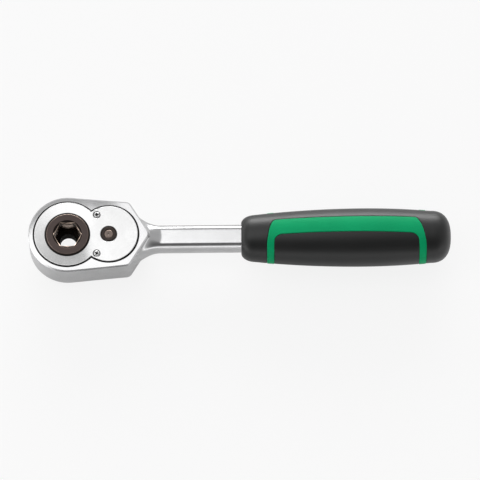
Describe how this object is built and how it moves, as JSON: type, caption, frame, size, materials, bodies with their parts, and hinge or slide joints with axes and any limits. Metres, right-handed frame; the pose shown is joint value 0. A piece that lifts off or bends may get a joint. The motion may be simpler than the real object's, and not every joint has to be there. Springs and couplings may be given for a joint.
{
  "type": "reversible bit ratchet",
  "caption": "Reversible ratchet handle with a pear-shaped chromed head, a hollow hexagon bit drive, a thumb lever on its back, a plain shank and a two-colour moulded handle.",
  "frame": {"origin": "on the drive axis, at the back face of the drive wheel, which lies flush with the ground back face of the head", "axes": "+Z along the drive axis and out of the bit socket, +X along the shank towards the handle"},
  "size_m": [0.1794, 0.0332, 0.0245],
  "materials": {
    "chromed_forging": "satin chrome",
    "satin_plate": "satin",
    "bright_screw": "bright",
    "blackened_steel": "blackened",
    "hardened_steel": "ground",
    "spring_steel": "drawn wire",
    "bronze_washer": "rolled",
    "seal_rubber": "matte",
    "core_plastic": "moulded",
    "green_plastic": "satin moulded",
    "soft_black": "soft touch"
  },
  "bodies": {
    "head": {"head_body": "chromed_forging", "cover_plate": "satin_plate", "cover_screws": "bright_screw", "shaft_bush": "blackened_steel", "thrust_washer": "bronze_washer", "lever_seal": "seal_rubber", "handle_core": "core_plastic", "grip_inlay_front": "green_plastic", "grip_inlay_back": "green_plastic", "grip_cover": "soft_black"},
    "drive_wheel": {"ratchet_wheel": "blackened_steel", "bit_retaining_ring": "spring_steel", "hub_seal": "seal_rubber"},
    "selector": {"selector_shaft": "hardened_steel", "reversing_lever": "blackened_steel", "lever_screw": "bright_screw", "plunger_spring": "spring_steel"},
    "plunger": {"selector_plunger": "hardened_steel"},
    "pawl": {"pawl": "hardened_steel"}
  },
  "joints": [
    {"name": "wheel_turn", "type": "hinge", "parent": "head", "child": "drive_wheel", "pos_m": [0, 0, 0], "axis": [0, 0, 1], "continuous": true},
    {"name": "lever_throw", "type": "hinge", "parent": "head", "child": "selector", "pos_m": [0.0175, 0, 0], "axis": [0, 0, 1], "range_deg": [-30, 30]},
    {"name": "pawl_rock", "type": "hinge", "parent": "head", "child": "pawl", "pos_m": [0.0175, 0, 0], "axis": [0, 0, 1], "range_deg": [-14.5, 14.5]},
    {"name": "plunger_slide", "type": "slide", "parent": "selector", "child": "plunger", "axis": [-1, 0, 0], "range_m": [0, 0.0008], "stiffness_N_per_m": 300, "springref_m": -0.001, "deforming": ["plunger_spring"]}
  ],
  "couplings": [
    {"joint": "pawl_rock", "follows": "lever_throw", "ratio": 0.4}
  ]
}
